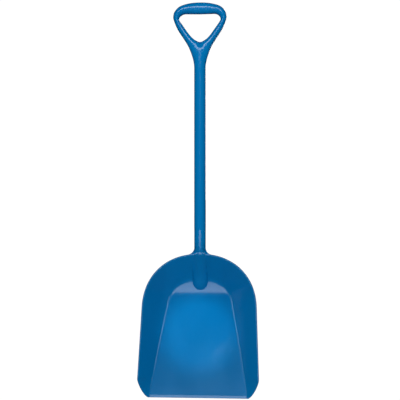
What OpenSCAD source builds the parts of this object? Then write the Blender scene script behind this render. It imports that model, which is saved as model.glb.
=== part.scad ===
// Feed scoop: a wide moulded pan on a straight round shaft with a D grip.
// It stands as it hangs: +Z runs up the shaft, the hollow of the pan faces -Y,
// and the origin is under the middle of the grip bar, where a hook carries it.
// Heights named "h" in the blade are measured up from the lip.

/* [Shaft] */
// Diameter of the shaft
shaft_d = 33; // [31:0.5:35]
// Diameter of the hole through the shaft, and of both spigots
bore_d = 22; // [18:0.5:24]
// Length of shaft between the two mouldings
shaft_len = 459; // [380:1:520]

/* [Grip] */
// Wall of the hollow grip shells
grip_wall = 5; // [4:0.5:6]
// Length of each spigot inside its moulding
spigot_grip = 48; // [30:1:48]
// Length of each spigot inside the shaft
spigot_shaft = 60; // [30:1:80]

/* [Blade] */
// Width across the rim where the arch starts
arch_w = 320; // [310:1:330]
// Width across the rim near the lip
mouth_w = 328; // [318:1:338]
// Width of the straight lip
lip_w = 270; // [260:1:280]
// Height of the arch's centre above the lip
arch_h = 230; // [222:1:238]
// Rise of the rim's arch above its centre
arch_rise = 152; // [146:1:156]
// Height of the socket's mouth above the lip
socket_h = 450; // [440:1:460]
// How far the lip stands in front of the shaft's axis
lip_reach = 108; // [95:1:120]
// Slope of the floor, depth for each unit of height
floor_slope = 0.46; // [0.40:0.01:0.50]
// Wall of the pan
pan_wall = 4.2; // [3.5:0.1:5]
// Thickness at the lip's edge
lip_wall = 2.4; // [2:0.1:3.5]
// Extra thickness of the bead along the rim
rim_bead = 2.4; // [0:0.1:3]

/* [Hidden] */
scoop_blue = [0.02, 0.42, 0.72];
core_blue = [0.05, 0.32, 0.58];
shaft_r = shaft_d / 2;
bore_r = bore_d / 2;
stem_z = -155;                              // joint between the grip and the shaft
socket_z = stem_z - shaft_len;              // joint between the shaft and the blade
lip_z = socket_z - socket_h;                // the lip, lowest point of the scoop
spigot_chamfer = 2;

// Helpers
function clamp01(t) = min(1, max(0, t));
function ease(t) = let(c = clamp01(t)) c * c * (3 - 2 * c);
function soft_min(a, b, k) = let(g = max(k - abs(a - b), 0)) min(a, b) - g * g / (4 * k);
function soft_max(a, b, k) = -soft_min(-a, -b, k);
// Catmull-Rom curve through a list whose first and last entries only steer it
function spline(p, t) =
    let(k = min(floor(t), len(p) - 4), f = t - k, a = p[k], b = p[k + 1], c = p[k + 2], d = p[k + 3])
    0.5 * (2 * b + (c - a) * f + (2 * a - 5 * b + 4 * c - d) * f * f + (3 * b - a - 3 * c + d) * f * f * f);
// A four-sided face as two triangles, without any that have shrunk to nothing
function face4(a, b, c, d) = [for (f = [[a, b, c], [a, c, d]])
    if (f[0] != f[1] && f[1] != f[2] && f[2] != f[0]) f];
function flip(f) = [f[2], f[1], f[0]];

// Grip
// Ribs run from the opening's edge to the outside, from the bar's middle (0)
// round the corner (4) and down the arm to the opening's lowest point (9).
edge_in = [[-25, 0.4], [0, 0], [25, 0.4], [44.5, 0.4], [54.3, -4.9], [58.5, -13.6], [56, -21],
    [43.6, -39], [26, -62.7], [12.6, -74.3], [0, -79.2], [-12.6, -74.3]];
edge_out = [[-30, 31], [0, 33.2], [30, 31], [57, 22.9], [72, 8.6], [76.4, -6], [74.2, -19],
    [63.4, -44], [47, -69.5], [36.3, -86.5], [28.9, -102], [21.5, -123], [17.5, -141],
    [shaft_r, stem_z], [shaft_r, stem_z - 20]];
half_depth = [15, 15, 15, 15, 14.6, 13.6, 13, 12.6, 13, 14, 15, 15.8, 16.3, shaft_r, shaft_r];
apex_rib = 9;
hollow_rib = 8;
hollow_taper = 1.5;                         // ribs over which the hollow closes
last_rib = 12;
steps = 4;                                  // stations for each rib
across = 10;                                // steps from the opening's edge outwards
hollow_across = 6;
apex_blend = 1.2;                           // ribs over which the web below the opening fills out
stations = last_rib * steps;
hollow_end = hollow_rib * steps;

function rib_in(t) = t <= apex_rib ? spline(edge_in, t)
    : let(top = edge_in[apex_rib + 1][1])
    [0, top + (stem_z - top) * (t - apex_rib) / (last_rib - apex_rib)];
function rib_out(t) = spline(edge_out, t);
function rib_depth(t) = spline(half_depth, t);
// Point of the front surface: share s of the way out along rib t
function grip_point(t, s, side) =
    let(m = 1 - ease((t - apex_rib) / apex_blend), c = -m + (1 + m) * s,
        p = rib_in(t) + (rib_out(t) - rib_in(t)) * s)
    [side * p[0], -rib_depth(t) * sqrt(max(0, 1 - c * c)), p[1]];
// Point of the hollow: its width and depth die away towards hollow_rib
function hollow_point(t, s, side) =
    let(a = rib_in(t), v = rib_out(t) - a, w = norm(v),
        e = sqrt(max(0, 1 - pow(max(0, t - hollow_rib + hollow_taper) / hollow_taper, 2))),
        c = 2 * s - 1, p = a + v * (0.5 + c * e * (0.5 - grip_wall / w)))
    [side * p[0], -(rib_depth(t) - grip_wall) * e * sqrt(max(0, 1 - c * c)), p[1]];
function share(j, n) = (1 - cos(180 * j / n)) / 2;

grip_n = across + 1;
hollow_n = hollow_across + 1;
function grip_id(i, j) = (j == 0 && i < 0 && -i >= apex_rib * steps
    ? -i + stations : i + stations) * grip_n + j;
hollow_base = (2 * stations + 1) * grip_n;
function hollow_id(i, j) = hollow_base + (abs(i) >= hollow_end
    ? (2 * hollow_end - 1) * hollow_n + (i > 0 ? 1 : 0) : (i + hollow_end - 1) * hollow_n + j);
seam_base = hollow_base + (2 * hollow_end - 1) * hollow_n + 2;
seam_first = apex_rib * steps;
// Opening's edge, or the stem's centre line below it, on one side of the seam
function seam_id(i) = abs(i) <= seam_first ? grip_id(i, 0) : seam_base + abs(i) - seam_first - 1;

grip_points = concat(
    [for (i = [-stations:stations], j = [0:across])
        grip_point(abs(i) / steps, share(j, across), i < 0 ? -1 : 1)],
    [for (i = [1 - hollow_end:hollow_end - 1], j = [0:hollow_across])
        hollow_point(abs(i) / steps, share(j, hollow_across), i < 0 ? -1 : 1)],
    [for (side = [-1, 1]) hollow_point(hollow_rib, 0.5, side)],
    [for (k = [seam_first + 1:stations]) [0, 0, rib_in(k / steps)[1]]]);
grip_skin = [for (i = [-stations:stations - 1], j = [0:across - 1])
    each face4(grip_id(i, j), grip_id(i, j + 1), grip_id(i + 1, j + 1), grip_id(i + 1, j))];
hollow_skin = [for (i = [-hollow_end:hollow_end - 1], j = [0:hollow_across - 1])
    each face4(hollow_id(i, j), hollow_id(i, j + 1), hollow_id(i + 1, j + 1), hollow_id(i + 1, j))];
seam_hollow = [for (i = [-hollow_end:hollow_end - 1]) each concat(
    face4(grip_id(i, 0), hollow_id(i, 0), hollow_id(i + 1, 0), grip_id(i + 1, 0)),
    face4(hollow_id(i, hollow_across), grip_id(i, across), grip_id(i + 1, across),
        hollow_id(i + 1, hollow_across)))];
// The seam below the hollow's end, as a fan at the end and then plain strips
function seam_fan(i, k) = let(tip = hollow_id(i, 0), l = i > 0 ? i : k, u = i > 0 ? k : i) concat(
    [[tip, grip_id(l, across), grip_id(u, across)]],
    [[tip, seam_id(u), seam_id(l)]],
    i > 0 ? [[tip, grip_id(u, across), seam_id(u)]] : [[tip, seam_id(l), grip_id(l, across)]]);
seam_web = concat(seam_fan(hollow_end, hollow_end + 1), seam_fan(-hollow_end, -hollow_end - 1));
seam_stem = [for (i = concat([-stations:-hollow_end - 2], [hollow_end + 1:stations - 1]), k = i)
    each face4(seam_id(k), grip_id(k, across), grip_id(k + 1, across), seam_id(k + 1))];
stem_end = concat([seam_id(stations)], [for (j = [across:-1:0]) grip_id(-stations, j)],
    [for (j = [1:across]) grip_id(stations, j)]);

module grip_half() {
    difference() {
        polyhedron(grip_points, concat(grip_skin, [stem_end],
            [for (f = concat(hollow_skin, seam_hollow, seam_web, seam_stem)) flip(f)]), convexity = 10);
        translate([0, 0, stem_z - 1]) cylinder(r = bore_r, h = spigot_grip + 1, $fn = 48);
    }
}

module grip_front() {
    color(scoop_blue) grip_half();
}

module grip_back() {
    color(scoop_blue) mirror([0, 1, 0]) grip_half();
}

// Shaft and the two spigots inside it
module shaft() {
    color(scoop_blue) translate([0, 0, socket_z]) difference() {
        cylinder(r = shaft_r, h = shaft_len, $fn = 64);
        translate([0, 0, -1]) cylinder(r = bore_r, h = shaft_len + 2, $fn = 48);
    }
}

module spigot(low, high) {
    color(core_blue) rotate_extrude($fn = 48) polygon([[0, low], [bore_r - spigot_chamfer, low],
        [bore_r, low + spigot_chamfer], [bore_r, high - spigot_chamfer],
        [bore_r - spigot_chamfer, high], [0, high]]);
}

module grip_spigot() {
    spigot(stem_z - spigot_shaft, stem_z + spigot_grip);
}

module blade_spigot() {
    spigot(socket_z - socket_depth, socket_z + spigot_shaft);
}

// Blade
socket_depth = 58;                          // depth of the bore in the blade's socket
arch_power = 2.2;                           // the arch is a slightly squared ellipse
side_foot = 52;                             // height where the side runs into the front corner
corner_power = 1.4;                         // nearly a straight cut with rounded ends
edge_inset = 0.3;
neck_r = shaft_r - edge_inset;              // half width of the flat edge along the socket
web_r = 18;                                 // fillet between the socket and the rim
web_share = 0.12;                           // how soon past the rim the web reaches the socket's side
lip_taper = 30;                             // height over which the floor thins towards the lip
floor_bend_h = 255;                         // where the floor starts to curve forwards
floor_bend_end = 290;
floor_end_slope = 0.12;
rim_reach = 13.3;                           // how far the front corner stands past the lip
rim_slope = 0.3225;
rim_power = 0.6;                            // how quickly the rim comes forward from the lip
foot_margin = 4;                            // from the floor's edge to the lip's end
foot_power = 0.9;
foot_arch = 73;                             // floor's reach from the arch's centre, straight up
foot_side = 87.4;                           // and sideways
fillet_share = 0.14;                        // part of the wall taken by the fillet at its foot
ridge_h = 301;                              // centre of the ridge's round nose
ridge_nose = 24.4;
ridge_w = 22;                               // half width of the ridge
ridge_top = 400;                            // where the ridge leaves the shaft's line
ridge_run = 110;
ridge_set = 24;                             // how far back the ridge's centre ends
ridge_blend = 11;
ridge_taper = 20;                           // height over which that blend begins
bead_from = 0.9;                            // part of the wall below the bead
bead_run = 0.08;
bead_rise = 60;                             // height over which the bead grows from the lip
least_blend = 0.01;

function floor_y(h) = let(b = min(max(h - floor_bend_h, 0), floor_bend_end - floor_bend_h),
    r = max(h - floor_bend_end, 0), k = (floor_slope - floor_end_slope) / (floor_bend_end - floor_bend_h))
    -lip_reach + floor_slope * (h - r) - k * b * b / 2 + floor_end_slope * r;
function floor_grad(h) = let(b = clamp01((h - floor_bend_h) / (floor_bend_end - floor_bend_h)))
    floor_slope + (floor_end_slope - floor_slope) * b;
function rim_y(h) = -lip_reach - rim_reach * pow(clamp01(h / side_foot), rim_power)
    + rim_slope * max(0, h - side_foot);
function side_w(h) = h >= side_foot
    ? arch_w / 2 + (mouth_w - arch_w) / 2 * (arch_h - h) / (arch_h - side_foot)
    : lip_w / 2 + (mouth_w - lip_w) / 2
        * pow(1 - pow(1 - max(h, 0) / side_foot, corner_power), 1 / corner_power);
function foot_w(h) = foot_side
    + (lip_w / 2 - foot_margin - foot_side) * pow(1 - max(h, 0) / arch_h, foot_power);
function arch_r(a) = pow(pow(abs(sin(a)) / (arch_w / 2), arch_power)
    + pow(cos(a) / arch_rise, arch_power), -1 / arch_power);
function foot_r(a) = foot_arch + (foot_side - foot_arch) * pow(sin(a), 2);

// Reach of the floor and of the rim from the middle, the reach of the point
// itself, and the height of the rim beside it
function wall_at(x, h) = h > arch_h
    ? let(a = atan2(abs(x), h - arch_h), r = arch_r(a))
        [norm([x, h - arch_h]), foot_r(a), r, arch_h + r * cos(a)]
    : [abs(x), foot_w(h), side_w(h), h];
function wall_rise(u) = let(k = 1 / (1 - fillet_share / 2))
    u <= 0 ? 0 : u < fillet_share ? k * u * u / (2 * fillet_share) : k * (u - fillet_share / 2);
function wall_pitch(u) = let(k = 1 / (1 - fillet_share / 2))
    u <= 0 ? 0 : u < fillet_share ? k * u / fillet_share : k;
function wall_share(w) = (w[0] - w[1]) / (w[2] - w[1]);
function wall_rest(u) = ease((u - 1) / web_share);
rim_t = pan_wall + rim_bead;
// Inner face of the pan alone; past the rim it runs into the socket's side
function pan_y(x, h) = let(w = wall_at(x, h), u = wall_share(w), d = floor_y(w[3]) - rim_y(w[3]))
    u <= 1 ? floor_y(h) - d * wall_rise(u) : rim_y(w[3]) + (-rim_t / 2 - rim_y(w[3])) * wall_rest(u);
// Its wall, measured along Y
function pan_t(x, h) = let(w = wall_at(x, h), u = wall_share(w),
    p = (floor_y(w[3]) - rim_y(w[3])) * wall_pitch(u) / (w[2] - w[1]))
    (lip_wall + (pan_wall - lip_wall) * clamp01(h / lip_taper)
        + rim_bead * ease((u - bead_from) / bead_run) * clamp01(h / bead_rise))
    * (1 + (norm([1, floor_grad(h), p]) - 1) * (1 - wall_rest(u)));
// Front of the ridge that carries the shaft's line down to the floor
function ridge_y(x, h) = let(n = max(0, ridge_h - h) / ridge_nose,
    w = shaft_r + (ridge_w - shaft_r) * ease((ridge_top - h) / (ridge_top - ridge_h)))
    ridge_set * ease((ridge_top - h) / ridge_run) - shaft_r * sqrt(max(0, 1 - pow(x / w, 2) - n * n));
function tube_y(x) = sqrt(max(0, shaft_r * shaft_r - x * x));
function blend_at(h) = ridge_blend * clamp01((ridge_top - h) / ridge_taper) + least_blend;
function front_y(x, h) = soft_min(pan_y(x, h), ridge_y(x, h), blend_at(h));
function back_y(x, h) = let(b = pan_y(x, h) + pan_t(x, h))
    h < ridge_h || abs(x) > shaft_r ? b : soft_max(b, tube_y(x), blend_at(h));

// Outline of the blade, each as [x, h], from the middle of the socket's mouth
// down the right side to the lip's corner
function arch_top(x) = arch_h + arch_rise * pow(1 - pow(x / (arch_w / 2), arch_power), 1 / arch_power);
arch_start = atan2(neck_r + web_r, arch_top(neck_r + web_r) - arch_h);
mouth_n = 4;
neck_n = 2;
web_n = 6;
arch_n = 16;
arch_spread = 1.4;                          // rays lie closer together near the socket
side_n = 6;
corner_n = 7;
web_low = arch_top(neck_r) + web_r;
outline = concat(
    [for (k = [0:mouth_n]) [neck_r * sin(90 * k / mouth_n), socket_h]],
    [for (k = [1:neck_n - 1]) [neck_r, socket_h + (web_low - socket_h) * k / neck_n]],
    [for (k = [0:web_n - 1]) let(a = 90 * k / web_n, x = neck_r + web_r * (1 - cos(a)))
        [x, arch_top(x) + web_r * (1 - sin(a))]],
    [for (k = [0:arch_n]) let(a = arch_start + (90 - arch_start) * pow(k / arch_n, arch_spread))
        [arch_r(a) * sin(a), arch_h + arch_r(a) * cos(a)]],
    [for (k = [1:side_n]) let(h = arch_h + (side_foot - arch_h) * k / side_n) [side_w(h), h]],
    [for (k = [1:corner_n]) let(h = side_foot * (1 + cos(180 * k / corner_n)) / 2) [side_w(h), h]]);
last_ray = len(outline) - 1;
first_side = last_ray - side_n - corner_n;  // rays above this one all start at the arch's centre
floor_shares = [0, 0.3, 0.6, 0.68, 0.76, 0.84, 0.92, 1];
wall_shares = [0.08, 0.16, 0.28, 0.4, 0.52, 0.64, 0.76, 0.88, 0.94, 1];
floor_n = len(floor_shares) - 1;
ray_n = floor_n + len(wall_shares);
function ray_foot(o) = o[1] > arch_h ? foot_r(atan2(o[0], o[1] - arch_h)) : foot_w(o[1]);
function ray_point(k, j) = let(o = outline[k], a = [0, min(o[1], arch_h)], d = norm(o - a), f = ray_foot(o),
    r = j <= floor_n ? f * floor_shares[j] : f + (d - f) * wall_shares[j - floor_n - 1]) a + (o - a) * r / d;

mid_n = last_ray - first_side + 1;
sheet_n = mid_n + (2 * last_ray + 1) * ray_n;
function pan_id(i, j, sheet) = sheet * sheet_n
    + (j == 0 ? max(0, abs(i) - first_side) : mid_n + (i + last_ray) * ray_n + j - 1);
function pan_face(x, h, sheet) = [x, sheet == 0 ? front_y(x, h) : back_y(x, h), h + lip_z];
pan_points = [for (sheet = [0, 1]) each concat(
    [for (k = [first_side:last_ray]) pan_face(0, min(outline[k][1], arch_h), sheet)],
    [for (i = [-last_ray:last_ray], j = [1:ray_n]) let(q = ray_point(abs(i), j))
        pan_face(sign(i) * q[0], q[1], sheet)])];
pan_sheets = [for (sheet = [0, 1], i = [-last_ray:last_ray - 1], j = [0:ray_n - 1])
    each [for (f = face4(pan_id(i, j, sheet), pan_id(i, j + 1, sheet), pan_id(i + 1, j + 1, sheet),
        pan_id(i + 1, j, sheet))) sheet == 0 ? f : flip(f)]];
pan_rim = [for (i = [-last_ray:last_ray - 1]) each face4(pan_id(i, ray_n, 0), pan_id(i, ray_n, 1),
    pan_id(i + 1, ray_n, 1), pan_id(i + 1, ray_n, 0))];
pan_lip = [for (j = [0:ray_n - 1]) each concat(
    face4(pan_id(-last_ray, j + 1, 0), pan_id(-last_ray, j, 0),
        pan_id(-last_ray, j, 1), pan_id(-last_ray, j + 1, 1)),
    face4(pan_id(last_ray, j, 0), pan_id(last_ray, j + 1, 0),
        pan_id(last_ray, j + 1, 1), pan_id(last_ray, j, 1)))];

module blade() {
    color(scoop_blue) difference() {
        polyhedron(pan_points, concat(pan_sheets, pan_rim, pan_lip), convexity = 10);
        translate([0, 0, socket_z - socket_depth]) cylinder(r = bore_r, h = socket_depth + 1, $fn = 48);
    }
}

grip_front();
grip_back();
grip_spigot();
shaft();
blade_spigot();
blade();
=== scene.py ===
import math
import bpy
import bmesh
import numpy as np
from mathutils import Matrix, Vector


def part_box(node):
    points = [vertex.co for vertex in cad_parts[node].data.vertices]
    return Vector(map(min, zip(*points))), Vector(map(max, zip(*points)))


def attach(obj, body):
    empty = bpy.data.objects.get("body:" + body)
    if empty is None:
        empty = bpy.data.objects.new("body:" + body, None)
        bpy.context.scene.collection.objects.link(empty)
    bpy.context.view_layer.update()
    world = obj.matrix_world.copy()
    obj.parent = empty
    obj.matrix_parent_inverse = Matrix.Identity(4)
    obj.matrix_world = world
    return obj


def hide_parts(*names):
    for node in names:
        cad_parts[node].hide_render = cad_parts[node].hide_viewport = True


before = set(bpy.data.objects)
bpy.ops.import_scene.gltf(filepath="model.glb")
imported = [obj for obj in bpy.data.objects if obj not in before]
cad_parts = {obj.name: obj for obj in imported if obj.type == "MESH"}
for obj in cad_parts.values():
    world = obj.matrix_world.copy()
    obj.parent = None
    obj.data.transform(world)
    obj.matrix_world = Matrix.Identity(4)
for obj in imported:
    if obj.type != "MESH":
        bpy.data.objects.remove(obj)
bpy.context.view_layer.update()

mm = 0.001


def nodeBox(node):
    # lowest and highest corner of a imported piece, in millimetres
    return [np.array(c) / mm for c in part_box(node)]


# Driving places, in millimetres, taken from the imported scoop
bladeLow, bladeHigh = nodeBox("blade")
shaftLow, shaftHigh = nodeBox("shaft")
plugLow, plugHigh = nodeBox("blade_spigot")
lipZ = bladeLow[2]                      # the lip, lowest edge of the scoop
socketZ = bladeHigh[2]                  # joint between shaft and blade
stemZ = nodeBox("grip_front")[0][2]     # joint between grip and shaft
gripBoreTop = nodeBox("grip_spigot")[1][2]
shaftR = (shaftHigh[0] - shaftLow[0]) / 2
boreR = (plugHigh[0] - plugLow[0]) / 2
print("frame loaded: lip", round(lipZ), "socket", round(socketZ), "stem", round(stemZ))

build = dict(
    weldGap=2e-6, sliver=1e-7,      # metres: points closer than this are merged, thinner faces dissolved
    boreSides=96, boreOver=1,       # the bores' cutter, and how far it runs past the open end
    sharp=38,                       # degrees: edges that turn by more stay crisp
)


def ease(t):
    # 3t^2 - 2t^3 between 0 and 1
    t = np.clip(t, 0, 1)
    return t * t * (3 - 2 * t)


def softMin(a, b, k):
    # the smaller of two, less (k - |a - b|)^2 / 4k where they differ by less than k, as a fillet
    gap = np.maximum(k - np.abs(a - b), 0)
    return np.minimum(a, b) - gap * gap / (4 * k)


def softMax(a, b, k):
    # the larger of two, with the same fillet: softMin of both negated, negated
    return -softMin(-a, -b, k)


def curveThrough(knots, t):
    # Catmull-Rom: cubic between knots whose slope is half the chord of their neighbours
    knots = np.asarray(knots, float)
    k = np.clip(np.floor(t).astype(int), 0, len(knots) - 4)
    f = (t - k)[(...,) + (None,) * (knots.ndim - 1)]
    a, b, c, d = knots[k], knots[k + 1], knots[k + 2], knots[k + 3]
    return 0.5 * (2 * b + (c - a) * f + (2 * a - 5 * b + 4 * c - d) * f ** 2
                  + (3 * b - a - 3 * c + d) * f ** 3)


def skinMesh(name, grid, edge=0.0, closed=(False, False), keep=None, caps=()):
    # a closed skin from a grid of points (u, v, xyz) in millimetres: quads between neighbours
    # where keep is true, plus whole-polygon caps; doubles merged and faces outward
    rows, cols = grid.shape[:2]
    u, v = np.meshgrid(np.arange(rows - (not closed[0])), np.arange(cols - (not closed[1])),
                       indexing="ij")
    nextU, nextV = (u + 1) % rows, (v + 1) % cols
    quads = np.stack([u * cols + v, nextU * cols + v, nextU * cols + nextV, u * cols + nextV], -1)
    quads = quads[keep] if keep is not None else quads.reshape(-1, 4)
    mesh = bpy.data.meshes.new(name)
    mesh.from_pydata((grid.reshape(-1, 3) * mm).tolist(), [], quads.tolist() + [list(c) for c in caps])
    layer = mesh.attributes.new("edge", "FLOAT", "POINT")
    layer.data.foreach_set("value", np.broadcast_to(edge, (rows, cols)).ravel().astype(np.float32))
    work = bmesh.new()
    work.from_mesh(mesh)
    bmesh.ops.remove_doubles(work, verts=work.verts, dist=build["weldGap"])
    bmesh.ops.dissolve_degenerate(work, edges=work.edges, dist=build["sliver"])
    bmesh.ops.recalc_face_normals(work, faces=work.faces)
    work.to_mesh(mesh)
    work.free()
    piece = bpy.data.objects.new(name, mesh)
    bpy.context.scene.collection.objects.link(piece)
    return piece


def boreOut(piece, low, high):
    # cut a straight round hole of boreR between two heights
    bpy.ops.mesh.primitive_cylinder_add(vertices=build["boreSides"], radius=boreR * mm,
                                        depth=(high - low) * mm, location=(0, 0, (low + high) / 2 * mm))
    cutter = bpy.context.object
    cut = piece.modifiers.new("bore", "BOOLEAN")
    cut.operation, cut.solver, cut.object = "DIFFERENCE", "EXACT", cutter
    bpy.context.view_layer.update()
    shaped = piece.evaluated_get(bpy.context.evaluated_depsgraph_get())
    cored = bpy.data.meshes.new_from_object(shaped)
    piece.modifiers.clear()
    piece.data = cored
    bpy.data.objects.remove(cutter)


def settle(piece):
    # smooth shading with crisp sharp edges, and a line on how well the skin closes
    piece.data.shade_smooth()
    piece.data.set_sharp_from_angle(angle=math.radians(build["sharp"]))
    work = bmesh.new()
    work.from_mesh(piece.data)
    loose = sum(1 for e in work.edges if not e.is_manifold)
    litres = round(work.calc_volume() * 1000, 3)
    print(piece.name, "faces", len(work.faces), "open edges", loose, "litres", litres)
    work.free()
    return piece


# Sizes in millimetres; h is the height above the lip, and a share runs from 0 to 1
pan = dict(
    archW=320, lipW=270,                    # widths across the arch and along the lip
    mouthW=bladeHigh[0] - bladeLow[0],      # widest, just above the front corners
    archH=230, archRise=152, archPower=2.2,  # rim's arch: centre above the lip, rise, squareness
    sideFoot=52, cornerPower=1.4,           # where the side turns into the front corner
    lipReach=108, floorSlope=0.46,          # floor plane
    bendLow=255, bendHigh=290, endSlope=0.12,
    rimReach=13.3, rimSlope=0.3225, rimPower=0.6,
    footUp=73, footSide=87.4, footMargin=4, footPower=0.9,   # where the floor meets the walls
    filletShare=0.14, flatSoft=0.02,        # shares of the wall's run that are fillet
    lipBevel=1.1, lipBevelUp=7,             # how much and how far up the lip is eased
    wall=4.2, lipWall=2.4, lipTaper=30,
    bead=2.4, beadFrom=0.9, beadRun=0.08, beadRise=60,
    neckInset=0.3, webR=18, webShare=0.12,  # the web between the socket and the rim
    ridgeH=301, ridgeNose=24.4, ridgeW=22, ridgeTop=400, ridgeRun=110, ridgeSet=24,
    ridgeBlend=11, blendTop=20, leastBlend=0.01,
    edgeR=2.6, rimFlat=3.2,                 # rounding of the rim, and the flat just inside it
    edgeOver=6, edgeFade=16, lipEdge=0.45, lipEdgeUp=40, leastEdge=0.01,
    wearRun=2.5,                            # how far in from the rim the rubbing fades
)
panMesh = dict(
    socket=15, neck=12, web=26, arch=80, archPower=1.4, side=40, corner=34, lip=26,  # outline points
    centreLow=40, footCap=0.8,              # lowest start of a ray, and the floor's most share of it
    middle=7, middleShare=0.4, foot=37, wall=46, wallPower=0.9, edge=13,             # points on a ray
)


def floorDepth(h):
    # plane y = slope*h - reach, whose slope falls evenly to endSlope between bendLow and bendHigh
    b = np.clip(h - pan["bendLow"], 0, pan["bendHigh"] - pan["bendLow"])
    r = np.maximum(h - pan["bendHigh"], 0)
    k = (pan["floorSlope"] - pan["endSlope"]) / (pan["bendHigh"] - pan["bendLow"])
    return -pan["lipReach"] + pan["floorSlope"] * (h - r) - k * b * b / 2 + pan["endSlope"] * r


def floorPitch(h):
    # the floor's slope at a height: floorSlope, then an even fall to endSlope across the bend
    b = np.clip((h - pan["bendLow"]) / (pan["bendHigh"] - pan["bendLow"]), 0, 1)
    return pan["floorSlope"] + (pan["endSlope"] - pan["floorSlope"]) * b


def rimDepth(h):
    # straight in side view, with a quick curve (h/foot)^rimPower up from the lip
    return (-pan["lipReach"] - pan["rimReach"] * np.clip(h / pan["sideFoot"], 0, 1) ** pan["rimPower"]
            + pan["rimSlope"] * np.maximum(0, h - pan["sideFoot"]))


def sideReach(h):
    # straight taper above sideFoot, a superellipse corner below it
    low = np.clip(h / pan["sideFoot"], 0, 1)
    corner = (1 - (1 - low) ** pan["cornerPower"]) ** (1 / pan["cornerPower"])
    widen = (pan["archH"] - h) / (pan["archH"] - pan["sideFoot"])
    taper = pan["archW"] / 2 + (pan["mouthW"] - pan["archW"]) / 2 * widen
    return np.where(h >= pan["sideFoot"], taper,
                    pan["lipW"] / 2 + (pan["mouthW"] - pan["lipW"]) / 2 * corner)


def footReach(h):
    # edge of the floor: from footSide out to just inside the lip's end, by (1 - h/archH)^footPower
    down = np.clip(1 - np.maximum(h, 0) / pan["archH"], 0, 1) ** pan["footPower"]
    return pan["footSide"] + (pan["lipW"] / 2 - pan["footMargin"] - pan["footSide"]) * down


def footArch(a):
    # edge of the floor round the arch: footUp at the top, footSide at the sides, by sin(a)^2
    return pan["footUp"] + (pan["footSide"] - pan["footUp"]) * np.sin(a) ** 2


def archReach(a):
    # polar superellipse r = ((|sin a|/A)^n + (cos a/B)^n)^(-1/n)
    n = pan["archPower"]
    return ((np.abs(np.sin(a)) / (pan["archW"] / 2)) ** n
            + (np.abs(np.cos(a)) / pan["archRise"]) ** n) ** (-1 / n)


def archTop(x):
    # height of the same arch over x: centre + B * (1 - (x/A)^n)^(1/n)
    n = pan["archPower"]
    return pan["archH"] + pan["archRise"] * (1 - (x / (pan["archW"] / 2)) ** n) ** (1 / n)


def wallFrame(x, h):
    # distance out from the middle, the floor's and the rim's distance there, and the rim's height:
    # polar about the arch's centre above archH, straight across below it
    up = h > pan["archH"]
    a = np.arctan2(np.abs(x), np.where(up, h - pan["archH"], 1))
    r = archReach(a)
    out = np.where(up, np.hypot(x, h - pan["archH"]), np.abs(x))
    foot = np.where(up, footArch(a), footReach(h))
    reach = np.where(up, r, sideReach(h))
    return out, foot, reach, np.where(up, pan["archH"] + r * np.cos(a), h)


def wallRise(u):
    # share of the wall's height at share u of its run: a parabola over the fillet, then straight
    f = pan["filletShare"]
    k = 1 / (1 - f / 2)
    return np.where(u <= 0, 0, np.where(u < f, k * u * u / (2 * f), k * (u - f / 2)))


def ridgeDepth(x, h):
    # quarter ellipsoid y = set - R*sqrt(1 - (x/w)^2 - nose^2), whose centre sinks behind the floor
    w = shaftR + (pan["ridgeW"] - shaftR) * ease((pan["ridgeTop"] - h) / (pan["ridgeTop"] - pan["ridgeH"]))
    nose = np.maximum(0, pan["ridgeH"] - h) / pan["ridgeNose"]
    return (pan["ridgeSet"] * ease((pan["ridgeTop"] - h) / pan["ridgeRun"])
            - shaftR * np.sqrt(np.maximum(0, 1 - (x / w) ** 2 - nose ** 2)))


def panFaces(x, h):
    # inner and outer face of the blade as depths y over the front view (x, h). Inner: floor less
    # wallRise times the wall's height, blended into the ridge. Outer: the same, plus the thickness
    # times sqrt(1 + slope^2), which keeps it even across the slope
    d, foot, reach, rimH = wallFrame(x, h)
    f = pan["filletShare"]
    k = 1 / (1 - f / 2)
    rimLine = rimDepth(rimH)
    high = floorDepth(rimH) - rimLine
    u = (d - foot) / (reach - foot)
    flatTop = 1 - pan["rimFlat"] / (reach - foot)
    v = softMin(u, flatTop + 0 * u, pan["flatSoft"])   # the wall stops rising on the rim's flat
    pitch = np.where(u <= 0, 0, np.where(u < f, k * u / f, k)) * high / (reach - foot)
    past = ease((u - 1) / pan["webShare"])
    webHalf = (pan["wall"] + pan["bead"]) / 2
    inner = floorDepth(h) - high * wallRise(v)
    inner = np.where(u <= 1, inner, inner + (-webHalf - inner) * past)
    outer = np.where(u <= 1, floorDepth(h) - high * wallRise(u), rimLine + (-webHalf - rimLine) * past)
    beaded = ease((u - pan["beadFrom"]) / pan["beadRun"]) * np.clip(h / pan["beadRise"], 0, 1)
    thick = (pan["lipWall"] + (pan["wall"] - pan["lipWall"]) * np.clip(h / pan["lipTaper"], 0, 1)
             + pan["bead"] * beaded)
    outer = outer + thick * (1 + (np.sqrt(1 + floorPitch(h) ** 2 + pitch ** 2) - 1) * (1 - past))
    inner = inner + pan["lipBevel"] * (1 - np.clip(h / pan["lipBevelUp"], 0, 1))
    blend = pan["ridgeBlend"] * np.clip((pan["ridgeTop"] - h) / pan["blendTop"], 0, 1) + pan["leastBlend"]
    tube = np.sqrt(np.maximum(0, shaftR ** 2 - x ** 2))
    front = softMin(inner, ridgeDepth(x, h), blend)
    plain = (h < pan["ridgeH"]) | (np.abs(x) > shaftR)
    return front, np.where(plain, outer, softMax(outer, tube, blend))


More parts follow.
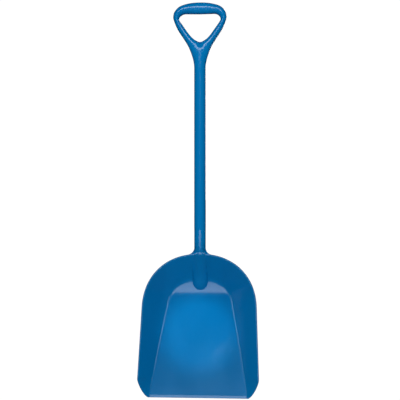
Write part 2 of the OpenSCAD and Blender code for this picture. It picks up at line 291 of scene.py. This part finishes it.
def bladeOutline():
    # right half of the outline (x, h) from the socket's mouth to the middle of the lip, then mirrored:
    # half circle, straight neck, quarter-circle web, superellipse arch, taper, corner and lip.
    # Also how far the edge is rounded at each station
    neckR = shaftR - pan["neckInset"]
    mouthH = socketZ - lipZ
    webLow = archTop(neckR) + pan["webR"]
    q = np.linspace(0, 1, panMesh["socket"])
    parts = [(neckR * np.sin(q * np.pi / 2), mouthH + 0 * q)]
    q = np.linspace(0, 1, panMesh["neck"])[1:-1]
    parts.append((neckR + 0 * q, mouthH + (webLow - mouthH) * q))
    q = np.linspace(0, 1, panMesh["web"])[:-1] * np.pi / 2
    x = neckR + pan["webR"] * (1 - np.cos(q))
    parts.append((x, archTop(x) + pan["webR"] * (1 - np.sin(q))))
    start = math.atan2(neckR + pan["webR"], archTop(neckR + pan["webR"]) - pan["archH"])
    a = start + (np.pi / 2 - start) * np.linspace(0, 1, panMesh["arch"]) ** panMesh["archPower"]
    parts.append((archReach(a) * np.sin(a), pan["archH"] + archReach(a) * np.cos(a)))
    h = np.linspace(pan["archH"], pan["sideFoot"], panMesh["side"])[1:]
    parts.append((sideReach(h), h))
    h = pan["sideFoot"] * (1 + np.cos(np.linspace(0, np.pi, panMesh["corner"])[1:])) / 2
    parts.append((sideReach(h), h))
    q = np.linspace(1, 0, panMesh["lip"])[1:]
    parts.append((pan["lipW"] / 2 * q, 0 * q))
    x = np.concatenate([p[0] for p in parts])
    h = np.concatenate([p[1] for p in parts])
    grown = pan["lipEdge"] + (1 - pan["lipEdge"]) * ease(h / pan["lipEdgeUp"])
    edge = pan["edgeR"] * ease((webLow + pan["edgeOver"] - h) / pan["edgeFade"]) * grown + pan["leastEdge"]
    x, h, edge = (np.concatenate([s, m * s[-2:0:-1]]) for s, m in ((x, -1), (h, 1), (edge, 1)))
    return x, h, edge


def bladeGrid():
    # rays from the middle line to the outline, over the inner face, round the edge by
    # mid - half*cos(turn), and back over the outer face; also how near each point is to the edge
    x, h, edge = bladeOutline()
    centre = np.clip(h, panMesh["centreLow"], pan["archH"])
    reach = np.hypot(x, h - centre)
    foot = np.where(h > pan["archH"], footArch(np.arctan2(np.abs(x), h - centre)), footReach(h))
    foot = np.minimum(foot, panMesh["footCap"] * reach)
    inShare = np.concatenate([np.linspace(0, panMesh["middleShare"], panMesh["middle"]),
                              np.linspace(panMesh["middleShare"], 1, panMesh["foot"])[1:]])
    outShare = np.linspace(0, 1, panMesh["wall"])[1:] ** panMesh["wallPower"]
    run = reach - edge
    dist = np.concatenate([foot[:, None] * inShare, foot[:, None] + (run - foot)[:, None] * outShare], 1)
    alongX, alongH = x / reach, (h - centre) / reach

    def place(r):
        return alongX[:, None] * r, centre[:, None] + alongH[:, None] * r
    px, ph = place(dist)
    front, back = panFaces(px, ph)
    turn = np.linspace(0, np.pi, panMesh["edge"])[1:-1]
    mid, half = (front[:, -1:] + back[:, -1:]) / 2, (back[:, -1:] - front[:, -1:]) / 2
    ex, eh = place(run[:, None] + edge[:, None] * np.sin(turn))
    ey = mid - half * np.cos(turn)
    back = np.minimum(back, bladeHigh[1])
    cols = [np.stack(g, -1) for g in ((px, front, ph + lipZ), (ex, ey, eh + lipZ),
                                      (px[:, ::-1], back[:, ::-1], ph[:, ::-1] + lipZ))]
    near = np.exp(-(run[:, None] - dist) / pan["wearRun"])
    worn = np.concatenate([near, np.ones_like(ex), near[:, ::-1]], 1)
    return np.concatenate(cols, 1), worn


grid, worn = bladeGrid()
blade = skinMesh("blade_moulding", grid, worn, (True, False))
boreOut(blade, plugLow[2], socketZ + build["boreOver"])
settle(blade)
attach(blade, "root")
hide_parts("blade")


# Outlines (x, z) round one half of the ring, from the far side of its top to down the stem
grip = dict(
    edgeIn=[[-25, 0.4], [0, 0], [25, 0.4], [44.5, 0.4], [54.3, -4.9], [58.5, -13.6], [56, -21],
            [43.6, -39], [26, -62.7], [12.6, -74.3], [0, -79.2], [-12.6, -74.3]],
    edgeOut=[[-30, 31], [0, 33.2], [30, 31], [57, 22.9], [72, 8.6], [76.4, -6], [74.2, -19],
             [63.4, -44], [47, -69.5], [36.3, -86.5], [28.9, -102], [21.5, -123], [17.5, -141]],
    halfDepth=[15, 15, 15, 15, 14.6, 13.6, 13, 12.6, 13, 14, 15, 15.8, 16.3],
    stemOver=20,                            # how far the last knot runs on past the stem's end
    apexRib=9, lastRib=12, apexBlend=1.2,   # rib at the opening's foot, and rib at the stem's end
    perRib=16, across=44, hollowAcross=14,  # points between ribs and round the sections
    wall=5, hollowRib=8, hollowTaper=1.5,
    partingIn=0.25, partingRun=0.6,         # the fine groove where the shells meet
    partingFrom=0.9, partingEnd=4,          # share of the section where it starts, fade at the stem
)


def gripHalf(name, side):
    # one shell, rib by rib round the ring and down the stem. Outer face: share s from the
    # opening's edge out, half depth b*sqrt(1 - c^2), c = -m + (1 + m)s, where m falls from 1 on
    # the ring to 0 down the stem. Inner face: the same section less the wall, closing at hollowRib.
    # side is -1 for the front, 1 for the back
    outer = grip["edgeOut"] + [[shaftR, stemZ], [shaftR, stemZ - grip["stemOver"]]]
    depth = grip["halfDepth"] + [shaftR, shaftR]
    apex, last = grip["apexRib"], grip["lastRib"]
    t = np.linspace(-last, last, 2 * last * grip["perRib"] + 1)
    at, turn = np.abs(t), np.where(t < 0, -1, 1)[:, None]
    ring = curveThrough(grip["edgeIn"], np.minimum(at, apex))
    low = grip["edgeIn"][apex + 1][1]
    down = np.clip((at - apex) / (last - apex), 0, 1)
    middle = np.stack([0 * at, low + (stemZ - low) * down], -1)
    inner = np.where((at > apex)[:, None], middle, ring)
    reach = curveThrough(outer, at) - inner
    b = curveThrough(depth, at)[:, None]
    m = 1 - ease((at - apex) / grip["apexBlend"])[:, None]

    s = (1 - np.cos(np.pi * np.linspace(0, 1, grip["across"] + 1))) / 2
    c = -m + (1 + m) * s
    y = b * np.sqrt(np.maximum(0, 1 - c * c))
    fadeIn = np.clip(apex - at, 0, 1)[:, None]
    fadeOut = np.clip((last - at) * grip["partingEnd"], 0, 1)[:, None]
    groove = grip["partingIn"] * np.exp(-(y / grip["partingRun"]) ** 2) * np.where(s < 0.5, fadeIn, fadeOut)
    width = np.linalg.norm(reach, axis=1)[:, None]
    s = s + np.where(s < 0.5, 1, -1) * groove / width * (np.abs(c) > grip["partingFrom"])
    skin = inner[:, None] + reach[:, None] * s[..., None]

    h = (1 + np.cos(np.pi * np.linspace(0, 1, grip["hollowAcross"] + 1))) / 2
    closing = np.clip((at - grip["hollowRib"]) / grip["hollowTaper"] + 1, 0, 1)
    e = np.sqrt(np.maximum(0, 1 - closing ** 2))[:, None]
    hc = 2 * h - 1
    core = inner[:, None] + reach[:, None] * (0.5 + hc * e * (0.5 - grip["wall"] / width))[..., None]
    coreY = (b - grip["wall"]) * e * np.sqrt(np.maximum(0, 1 - hc * hc))

    seam = np.where((at > apex)[:, None], inner, skin[:, 0])
    flat = np.concatenate([skin, core, seam[:, None]], 1)
    deep = np.concatenate([y, coreY, 0 * at[:, None]], 1)
    points = np.stack([flat[..., 0] * turn, side * deep, flat[..., 1]], -1)
    cols = points.shape[1]
    keep = np.ones((len(t) - 1, cols), bool)
    stem = np.arange(len(t) - 1) // grip["perRib"]
    keep[(stem < last - apex) | (stem >= last + apex), -1] = False   # the two sides join here
    n = grip["across"] + 1
    rim = list(range(n)) + [n, cols - 1]
    caps = [[row * cols + k for k in rim] for row in (0, len(t) - 1)]
    piece = skinMesh(name, points, closed=(False, True), keep=keep, caps=caps)
    boreOut(piece, stemZ - build["boreOver"], gripBoreTop)
    return settle(piece)


gripPieces = []
for name, side in (("grip_front_shell", -1), ("grip_back_shell", 1)):
    piece = gripHalf(name, side)
    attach(piece, "root")
    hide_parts(name.replace("_shell", ""))
    gripPieces.append(piece)


tube = dict(rings=40, sides=128)


def tubeGrid(low, high):
    # a wall section carried round the axis, (r sin a, -r cos a, z): up the outside, over the end,
    # down the bore and back
    z = np.linspace(low, high, tube["rings"])
    r = np.concatenate([shaftR + 0 * z, boreR + 0 * z])[:, None]
    z = np.concatenate([z, z[::-1]])[:, None]
    a = np.linspace(0, 2 * np.pi, tube["sides"], endpoint=False)[None, :]
    return np.stack(np.broadcast_arrays(r * np.sin(a), -r * np.cos(a), z), -1)


shaftPiece = settle(skinMesh("shaft_tube", tubeGrid(socketZ, stemZ), closed=(True, True)))
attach(shaftPiece, "root")
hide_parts("shaft")


def effectGroup(name, inputs, outputs):
    # an empty node group with named sockets; returns its tree, its input node and its output node
    tree = bpy.data.node_groups.new(name, "ShaderNodeTree")
    kinds = {"v": "NodeSocketVector", "f": "NodeSocketFloat", "c": "NodeSocketColor"}
    for label, kind, value in inputs:
        socket = tree.interface.new_socket(name=label, in_out="INPUT", socket_type=kinds[kind])
        if value is not None:
            socket.default_value = value
    for label, kind in outputs:
        tree.interface.new_socket(name=label, in_out="OUTPUT", socket_type=kinds[kind])
    return tree, tree.nodes.new("NodeGroupInput").outputs, tree.nodes.new("NodeGroupOutput").inputs


def put(tree, kind, inputs=None, **settings):
    # add one node, set its properties, and fill its sockets with values or links
    node = tree.nodes.new(kind)
    for key, value in settings.items():
        setattr(node, key, value)
    for key, value in (inputs or {}).items():
        if isinstance(value, bpy.types.NodeSocket):
            tree.links.new(value, node.inputs[key])
        else:
            node.inputs[key].default_value = value
    return node


def stretched(tree, vector, scale):
    # each coordinate times its scale, so a small scale draws a pattern out along that way
    return put(tree, "ShaderNodeMapping", {"Vector": vector, "Scale": scale}).outputs["Vector"]


def noise(tree, vector, scale, detail, rough=0.55):
    # fractal noise: octaves that double in frequency, each rough times as strong as the last
    return put(tree, "ShaderNodeTexNoise", {"Vector": vector, "Scale": scale, "Detail": detail,
                                            "Roughness": rough}).outputs["Fac"]


def between(tree, value, low, high):
    # 0 below low and 1 above high, by 3t^2 - 2t^3
    node = put(tree, "ShaderNodeMapRange", {"Value": value, "From Min": low, "From Max": high},
               interpolation_type="SMOOTHSTEP")
    return node.outputs["Result"]


def maths(tree, operation, *values):
    return put(tree, "ShaderNodeMath", dict(enumerate(values)), operation=operation).outputs[0]


def blended(tree, share, first, second):
    # colours mixed as first*(1 - share) + second*share; sockets 6 and 7 are the Mix node's colours
    return put(tree, "ShaderNodeMix", {0: share, 6: first, 7: second}, data_type="RGBA").outputs[2]


# Noise sizes are waves to the metre; each pair is where a mask starts and where it is full
marks = dict(
    grainSize=900.0, peelSize=70.0, grainShare=0.25, grainDetail=2.0,
    flowStretch=(1.0, 1.0, 0.22), flowDetail=5.0, flowRange=(0.35, 0.68),
    hairStretch=(9.0, 9.0, 0.5), hairSize=60.0, hairDetail=3.0, hairRough=0.7, hairRange=(0.60, 0.74),
    patchSize=14.0, patchDetail=3.0, patchRange=(0.42, 0.66),
    rubSize=120.0, rubDetail=5.0, rubRange=(0.30, 0.75), rubEdge=(0.25, 1.0),
    dustFacing=(0.15, 0.9), cloudSize=35.0, cloudDetail=6.0, cloudRange=(0.40, 0.72),
)


def grainGroup():
    # mould texture: fine spark-eroded grain over a slow orange-peel wave
    tree, into, out = effectGroup("mouldGrain", [("Vector", "v", None),
                                                 ("Grain size", "f", marks["grainSize"]),
                                                 ("Peel size", "f", marks["peelSize"])], [("Height", "f")])
    fine = noise(tree, into["Vector"], into["Grain size"], marks["grainDetail"])
    peel = noise(tree, into["Vector"], into["Peel size"], marks["grainDetail"])
    height = maths(tree, "MULTIPLY_ADD", fine, marks["grainShare"], peel)
    tree.links.new(height, out["Height"])
    return tree


def flowGroup():
    # colour that drifts a little along the way the plastic ran into the mould
    tree, into, out = effectGroup("flowMarks", [("Vector", "v", None), ("Colour", "c", None),
                                                ("Deep colour", "c", None), ("Size", "f", 9.0)],
                                  [("Colour", "c"), ("Mask", "f")])
    along = stretched(tree, into["Vector"], marks["flowStretch"])
    mask = between(tree, noise(tree, along, into["Size"], marks["flowDetail"]), *marks["flowRange"])
    tree.links.new(blended(tree, mask, into["Deep colour"], into["Colour"]), out["Colour"])
    tree.links.new(mask, out["Mask"])
    return tree


def scuffGroup():
    # hairline scratches that run mostly along the scoop, gathered in worn patches
    tree, into, out = effectGroup("hairScuffs", [("Vector", "v", None), ("Amount", "f", 0.5)],
                                  [("Mask", "f")])
    along = stretched(tree, into["Vector"], marks["hairStretch"])
    hairs = noise(tree, along, marks["hairSize"], marks["hairDetail"], marks["hairRough"])
    patch = noise(tree, into["Vector"], marks["patchSize"], marks["patchDetail"])
    worn = maths(tree, "MULTIPLY", between(tree, hairs, *marks["hairRange"]),
                 between(tree, patch, *marks["patchRange"]))
    tree.links.new(maths(tree, "MULTIPLY", worn, into["Amount"]), out["Mask"])
    return tree


def edgeGroup():
    # rubbed edges: the nearness to the edge, broken up by noise
    tree, into, out = effectGroup("edgeRub", [("Vector", "v", None), ("Edge", "f", 0.0),
                                              ("Amount", "f", 0.5)], [("Mask", "f")])
    broken = between(tree, noise(tree, into["Vector"], marks["rubSize"], marks["rubDetail"]),
                     *marks["rubRange"])
    rub = maths(tree, "MULTIPLY", between(tree, into["Edge"], *marks["rubEdge"]), broken)
    tree.links.new(maths(tree, "MULTIPLY", rub, into["Amount"]), out["Mask"])
    return tree


def dustGroup():
    # a trace of dust on faces that look upward
    tree, into, out = effectGroup("feedDust", [("Vector", "v", None), ("Normal", "v", None),
                                               ("Amount", "f", 0.1)], [("Mask", "f")])
    facing = put(tree, "ShaderNodeSeparateXYZ", {0: into["Normal"]}).outputs["Z"]
    cloud = between(tree, noise(tree, into["Vector"], marks["cloudSize"], marks["cloudDetail"]),
                    *marks["cloudRange"])
    dust = maths(tree, "MULTIPLY", between(tree, facing, *marks["dustFacing"]), cloud)
    tree.links.new(maths(tree, "MULTIPLY", dust, into["Amount"]), out["Mask"])
    return tree


finish = dict(
    scoop=dict(colour=(0.0, 0.205, 0.54, 1), deep=(0.0, 0.185, 0.50, 1), pale=(0.02, 0.30, 0.62, 1),
               rough=(0.12, 0.16), bump=0.000005, flow=9.0, scuffs=0.25, rub=0.30, dust=0.01),
    spigot=dict(colour=(0.0, 0.13, 0.38, 1), deep=(0.0, 0.10, 0.32, 1), pale=(0.15, 0.30, 0.52, 1),
                rough=(0.42, 0.55), bump=0.00003, flow=14.0, scuffs=0.45, rub=0.2, dust=0.0),
    dustColour=(0.52, 0.46, 0.36, 1), dulling=0.2,   # dulling: roughness that full wear or dust adds
)
effects = {name: make() for name, make in (("grain", grainGroup), ("flow", flowGroup),
                                           ("scuffs", scuffGroup), ("edge", edgeGroup),
                                           ("dust", dustGroup))}


def plastic(name, look):
    # drifting colour, paler where worn and dusty where it faces up; wear and dust dull the gloss
    mat = bpy.data.materials.new(name)
    mat.use_nodes = True
    tree = mat.node_tree
    shader = tree.nodes["Principled BSDF"]
    where = put(tree, "ShaderNodeTexCoord").outputs["Object"]
    facing = put(tree, "ShaderNodeNewGeometry").outputs["Normal"]
    nearEdge = put(tree, "ShaderNodeAttribute", attribute_name="edge").outputs["Fac"]

    def effect(kind, inputs):
        return put(tree, "ShaderNodeGroup", {"Vector": where, **inputs}, node_tree=effects[kind]).outputs

    flow = effect("flow", {"Colour": look["colour"], "Deep colour": look["deep"], "Size": look["flow"]})
    scuffs = effect("scuffs", {"Amount": look["scuffs"]})["Mask"]
    rub = effect("edge", {"Edge": nearEdge, "Amount": look["rub"]})["Mask"]
    dust = effect("dust", {"Normal": facing, "Amount": look["dust"]})["Mask"]
    grain = effect("grain", {})["Height"]

    worn = maths(tree, "MAXIMUM", scuffs, rub)
    tone = blended(tree, worn, flow["Colour"], look["pale"])
    dusty = blended(tree, dust, tone, finish["dustColour"])
    low, high = look["rough"]
    gloss = put(tree, "ShaderNodeMapRange", {"Value": flow["Mask"], "To Min": low, "To Max": high})
    marred = maths(tree, "MAXIMUM", worn, dust)
    dulled = maths(tree, "MULTIPLY_ADD", marred, finish["dulling"], gloss.outputs["Result"])
    bump = put(tree, "ShaderNodeBump", {"Height": grain, "Distance": look["bump"], "Strength": 1.0})
    tree.links.new(dusty, shader.inputs["Base Color"])
    tree.links.new(dulled, shader.inputs["Roughness"])
    tree.links.new(bump.outputs["Normal"], shader.inputs["Normal"])
    return mat


def dress(piece, mat):
    piece.data.materials.clear()
    piece.data.materials.append(mat)


scoopBlue = plastic("scoop_blue_plastic", finish["scoop"])
spigotBlue = plastic("spigot_blue_plastic", finish["spigot"])
for piece in (blade, shaftPiece, *gripPieces):
    dress(piece, scoopBlue)
for name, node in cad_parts.items():
    dress(node, spigotBlue if "spigot" in name else scoopBlue)
print("materials made")


# Metres and watts. Each lamp has its place, its aim, its size or angle and its power, and the
# softboxes name the pieces that they reach. Fills and pools shape the colour and show in no
# reflection; cards are seen only as reflections
studio = dict(
    stageSize=12, stageDrop=0.0005, stageGrey=0.08, white=1.05, ambient=0.12, poolSoft=0.03,
    softboxes=[("front_fill", (0.0, -2.4, 0.1), (0, 0, -0.5), (1.6, 1.2), 31, "all"),
               ("low_fill", (0, -1.8, -0.95), (0, 0, -0.7), (1.6, 0.4), 5.5, "all"),
               ("rear_fill", (0.3, 2.4, 0.6), (0, 0, -0.6), (2.0, 1.6), 34, "all"),
               ("crescent_card", (0, -3.9, 0.02), (0, -0.03, -0.79), (2.8, 1.95), 44, "blade"),
               ("left_line_card", (-1.25, -1.15, 0.35), (0, -0.06, -0.88), (0.5, 1.5), 7, "blade"),
               ("right_line_card", (1.25, -1.15, 0.35), (0, -0.06, -0.88), (0.5, 1.5), 7, "blade"),
               ("bar_card", (0, -1.6, 0.62), (0, 0, 0.016), (0.8, 0.52), 7, "grip"),
               ("rear_card", (0.9, 1.9, 0.3), (0, 0, -0.5), (0.5, 1.8), 12, "all")],
    pools=[("pan_pool", (0, -1.6, 0.25), (0, -0.06, -0.882), 6.8, 0.4, 54),
           ("stem_pool", (0, -2.2, -0.1), (0, 0, -0.27), 21.0, 0.2, 41)],
)


def stageFloor():
    # a dark floor to the light, so that little bounces up, which the camera sees as white
    low = lipZ * mm - studio["stageDrop"]
    bpy.ops.mesh.primitive_plane_add(size=studio["stageSize"], location=(0, 0, low))
    floor = bpy.context.object
    floor.name = "stage_floor"
    mat = bpy.data.materials.new("pale_floor")
    mat.use_nodes = True
    tree = mat.node_tree
    tree.nodes.clear()
    path = put(tree, "ShaderNodeLightPath")
    grey = put(tree, "ShaderNodeBsdfDiffuse", {"Color": (studio["stageGrey"],) * 3 + (1,)})
    white = put(tree, "ShaderNodeEmission", {"Strength": studio["white"]})
    mix = put(tree, "ShaderNodeMixShader", {"Fac": path.outputs["Is Camera Ray"], 1: grey.outputs["BSDF"],
                                            2: white.outputs["Emission"]})
    put(tree, "ShaderNodeOutputMaterial", {"Surface": mix.outputs["Shader"]})
    floor.data.materials.append(mat)


def lampAt(name, kind, place, target, power):
    lamp = bpy.data.lights.new(name, kind)
    lamp.energy = power
    obj = bpy.data.objects.new(name, lamp)
    obj.location = place
    obj.rotation_euler = (Vector(target) - Vector(place)).to_track_quat("-Z", "Y").to_euler()
    obj.visible_camera = False
    bpy.context.scene.collection.objects.link(obj)
    return obj


stageFloor()
reach = {}
for who, pieces in (("blade", [blade]), ("grip", gripPieces)):
    reach[who] = bpy.data.collections.new(who + "_lit")
    for piece in pieces:
        reach[who].objects.link(piece)
for name, place, target, size, power, who in studio["softboxes"]:
    lamp = lampAt(name, "AREA", place, target, power)
    lamp.data.shape = "RECTANGLE"
    lamp.data.size, lamp.data.size_y = size
    lamp.visible_diffuse = "card" not in name
    lamp.visible_glossy = "card" in name
    if who in reach:
        lamp.light_linking.receiver_collection = reach[who]
for name, place, target, angle, blend, power in studio["pools"]:
    lamp = lampAt(name, "SPOT", place, target, power)
    lamp.data.spot_size, lamp.data.spot_blend = math.radians(angle), blend
    lamp.data.shadow_soft_size = studio["poolSoft"]
    lamp.visible_glossy = False

world = bpy.data.worlds.new("studio")
bpy.context.scene.world = world
world.use_nodes = True
world.cycles_visibility.glossy = False
sky = world.node_tree
seen = put(sky, "ShaderNodeLightPath").outputs["Is Camera Ray"]
dim, bright = ((level, level, level, 1) for level in (studio["ambient"], studio["white"]))
sky.links.new(blended(sky, seen, dim, bright), sky.nodes["Background"].inputs["Color"])
print("stage lit")


# Camera, in millimetres: its distance, the height that it aims at, and the width of view there
view = dict(distance=2000, azimuth=3, aimHeight=534.7, width=1140, sensor=36)

aim = Vector((0, 0, lipZ + view["aimHeight"])) * mm
camData = bpy.data.cameras.new("camera")
camData.sensor_width = view["sensor"]
camData.lens = view["sensor"] * view["distance"] / view["width"]
cam = bpy.data.objects.new("camera", camData)
bpy.context.scene.collection.objects.link(cam)
bpy.context.scene.camera = cam
turn = math.radians(view["azimuth"])
cam.location = aim + Vector((math.sin(turn), -math.cos(turn), 0)) * view["distance"] * mm
cam.rotation_euler = (aim - cam.location).to_track_quat("-Z", "Y").to_euler()
bpy.context.scene.view_settings.view_transform = "Standard"
